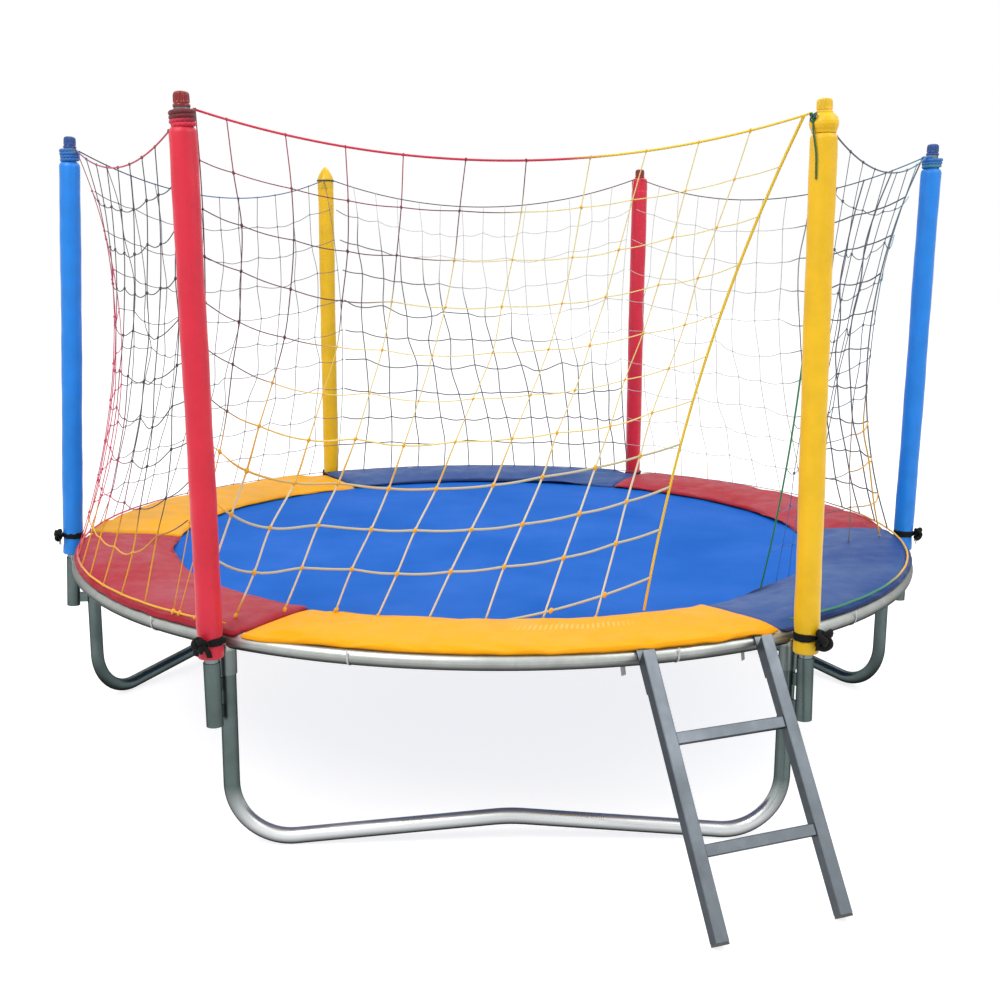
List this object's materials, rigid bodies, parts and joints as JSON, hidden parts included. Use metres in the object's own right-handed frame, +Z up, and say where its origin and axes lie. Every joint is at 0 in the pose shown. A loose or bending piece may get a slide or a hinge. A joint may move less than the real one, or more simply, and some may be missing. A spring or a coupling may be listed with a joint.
{
  "type": "garden trampoline",
  "caption": "Round trampoline with a sprung mat, coloured edge pads, foam-sleeved poles, a knotted safety net with an entry gap, W-shaped legs and a hook-on ladder.",
  "frame": {"origin": "middle of the mat's top face", "axes": "+Z up through the middle of the mat; -Y towards the front leg, with the ladder to the right of it"},
  "size_m": [2.6418, 2.7894, 1.6901],
  "materials": {
    "galvanised_steel": "galvanised, satin",
    "spring_steel": "zinc plated",
    "foam_blue": "smooth foam skin",
    "foam_red": "smooth foam skin",
    "foam_yellow": "smooth foam skin",
    "cap_blue": "moulded",
    "cap_red": "moulded",
    "cap_yellow": "moulded",
    "strap": "woven webbing",
    "lashing": "braided rope",
    "mat": "woven polypropylene",
    "webbing": "woven webbing",
    "pad_yellow": "coated cloth over foam",
    "pad_red": "coated cloth over foam",
    "pad_blue": "coated cloth over foam",
    "elastic": "elastic tape",
    "net_dark": "braided twine",
    "net_red": "braided twine",
    "net_yellow": "braided twine",
    "net_green": "braided twine",
    "foot_plastic": "moulded"
  },
  "bodies": {
    "frame": {"rim_segment_right": "galvanised_steel", "pole_right": "galvanised_steel", "foam_right": "foam_blue", "rim_segment_back_right": "galvanised_steel", "pole_back_right": "galvanised_steel", "foam_back_right": "foam_red", "rim_segment_back_left": "galvanised_steel", "pole_back_left": "galvanised_steel", "foam_back_left": "foam_yellow", "rim_segment_left": "galvanised_steel", "pole_left": "galvanised_steel", "foam_left": "foam_blue", "rim_segment_front_left": "galvanised_steel", "pole_front_left": "galvanised_steel", "foam_front_left": "foam_red", "rim_segment_front_right": "galvanised_steel", "pole_front_right": "galvanised_steel", "foam_front_right": "foam_yellow", "leg_front": "galvanised_steel", "leg_right": "galvanised_steel", "leg_left": "galvanised_steel", "pole_caps_blue": "cap_blue", "pole_caps_red": "cap_red", "pole_caps_yellow": "cap_yellow", "pole_straps": "strap", "pole_lashings": "lashing", "springs_right_back": "spring_steel", "pad_right_back": "pad_red", "net_right_back": "net_dark", "springs_back": "spring_steel", "pad_back": "pad_blue", "net_back": "net_dark", "springs_left_back": "spring_steel", "pad_left_back": "pad_yellow", "net_left_back": "net_dark", "springs_left_front": "spring_steel", "pad_left_front": "pad_red", "net_left_front": "net_red", "springs_front": "spring_steel", "pad_front": "pad_yellow", "net_front": "net_yellow", "springs_right_front": "spring_steel", "pad_right_front": "pad_blue", "net_right_front": "net_dark", "pad_ties": "elastic", "net_head_ropes": "net_red", "net_foot_rope": "net_yellow", "net_entry_rope_left": "net_yellow", "net_entry_rope_right": "net_green"},
    "mat": {"mat": "mat", "mat_border": "webbing", "mat_rings": "spring_steel"},
    "ladder": {"ladder_stile_left": "galvanised_steel", "ladder_stile_right": "galvanised_steel", "ladder_rung_upper": "galvanised_steel", "ladder_rung_lower": "galvanised_steel", "ladder_hook_left": "galvanised_steel", "ladder_hook_right": "galvanised_steel", "ladder_feet": "foot_plastic"}
  },
  "joints": [
    {"name": "mat_bounce", "type": "slide", "parent": "frame", "child": "mat", "axis": [0, 0, 1], "range_m": [-0.25, 0], "stiffness_N_per_m": 5000, "springref_m": 0.03, "deforming": ["springs_right_back", "springs_back", "springs_left_back", "springs_left_front", "springs_front", "springs_right_front"]},
    {"name": "ladder_swing", "type": "hinge", "parent": "frame", "child": "ladder", "pos_m": [0.41311, -1.13809, -0.00947], "axis": [-0.94, -0.3412, 0], "range_deg": [0, 40]}
  ]
}
